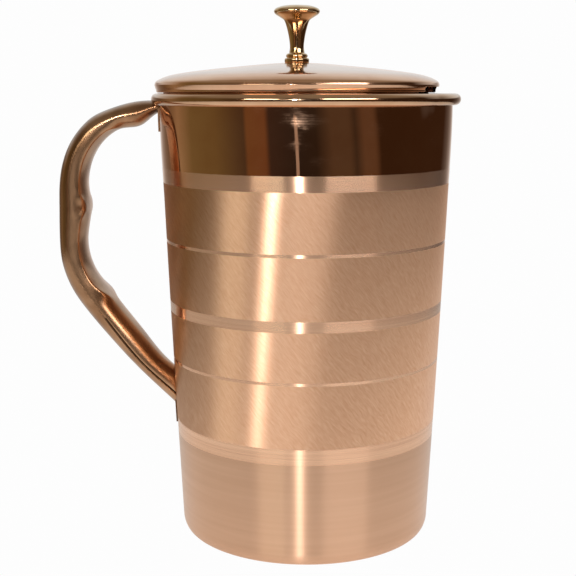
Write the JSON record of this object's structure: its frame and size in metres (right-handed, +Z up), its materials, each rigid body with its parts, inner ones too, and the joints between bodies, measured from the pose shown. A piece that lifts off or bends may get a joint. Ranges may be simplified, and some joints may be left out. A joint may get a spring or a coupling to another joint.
{
  "type": "copper water jug",
  "caption": "Tapering copper water jug with a pulled pour lip, rolled rim, hollow side handle with finger swells, and a lift-off domed lid with a turned brass knob",
  "frame": {"origin": "centre of the flat base, on the surface the jug stands on", "axes": "+Z up along the jug's axis, +X toward the pour lip, -X toward the handle, +Y across, to the far side when the handle is on the left"},
  "size_m": [0.1718, 0.1268, 0.2257],
  "materials": {
    "copper_body": "copper sheet with polished, satin-turned and diagonally brushed bands",
    "copper_handle": "polished copper sheet, slightly darkened",
    "copper_lid": "polished copper sheet",
    "brass_knob": "turned and polished brass",
    "fastener_steel": "plain zinc-plated steel"
  },
  "bodies": {
    "jug": {"jug_body": "copper_body", "handle_back_shell": "copper_handle", "handle_grip_shell": "copper_handle", "handle_top_plate": "copper_handle", "handle_bottom_plate": "copper_handle"},
    "lid": {"lid_dome": "copper_lid", "lid_collar": "copper_lid", "lid_knob": "brass_knob", "knob_screw": "fastener_steel", "knob_washer": "fastener_steel"}
  },
  "joints": [
    {"name": "lid_lift", "type": "slide", "parent": "jug", "child": "lid", "axis": [0, 0, 1], "range_m": [0, 0.08]}
  ]
}
